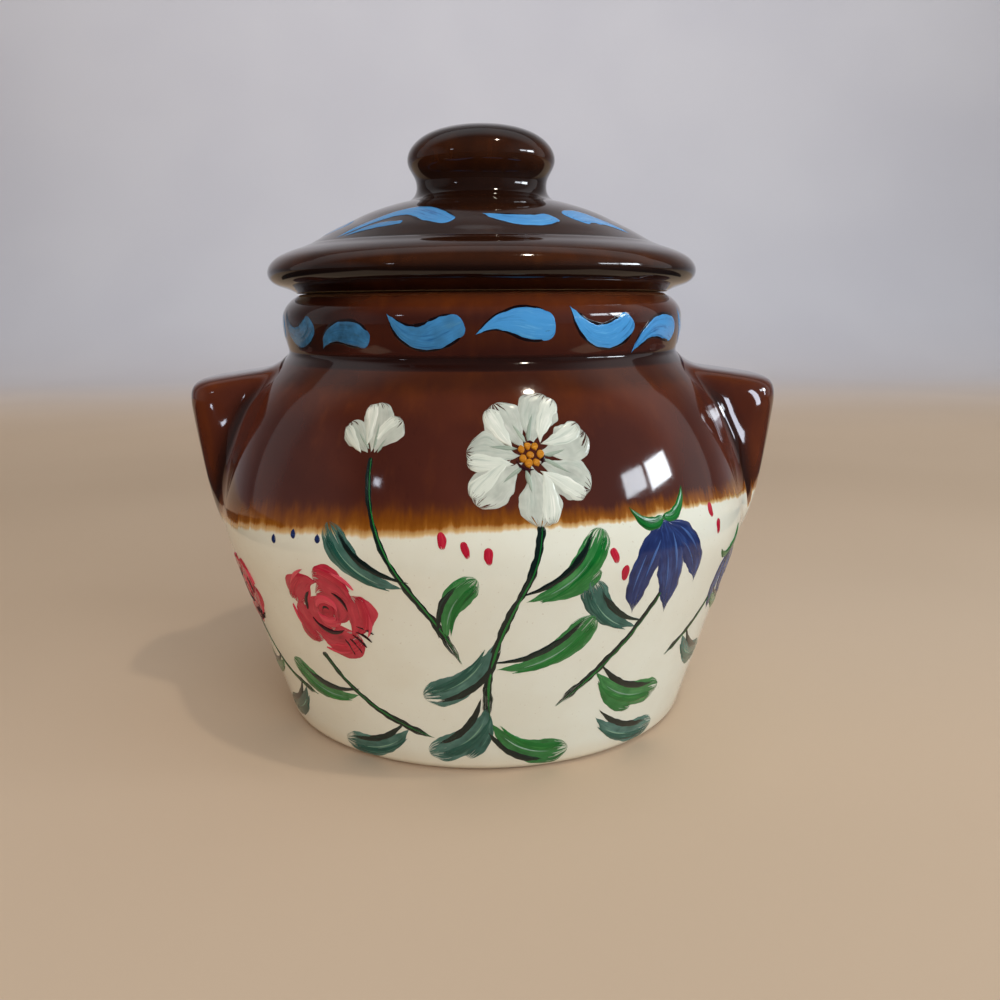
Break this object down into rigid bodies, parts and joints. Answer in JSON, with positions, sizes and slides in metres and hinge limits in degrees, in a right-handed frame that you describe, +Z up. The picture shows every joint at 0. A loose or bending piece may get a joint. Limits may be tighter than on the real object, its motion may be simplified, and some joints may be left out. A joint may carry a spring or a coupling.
{
  "type": "stoneware bean pot",
  "caption": "Squat glazed stoneware bean pot with a bulging collar, tab-shaped lug handles and a lift-off domed lid with a round knob.",
  "frame": {"origin": "centre of the flat foot ring, on the surface the pot stands on", "axes": "+Z up along the axis the pot is turned about, +X towards one lug handle, -Y towards the painted front"},
  "size_m": [0.1618, 0.1452, 0.1589],
  "materials": {
    "two_tone_glaze": "glossy brown glaze above a glossy cream glaze",
    "brown_glaze": "glossy dark brown glaze",
    "painted_colours": "painted strokes under a gloss"
  },
  "bodies": {
    "pot": {"pot_body": "two_tone_glaze", "lug_handle_left": "two_tone_glaze", "lug_handle_right": "two_tone_glaze"},
    "lid": {"lid": "brown_glaze", "lid_knob": "brown_glaze"}
  },
  "joints": [
    {"name": "lid_lift", "type": "slide", "parent": "pot", "child": "lid", "axis": [0, 0, 1], "range_m": [0, 0.12]}
  ]
}
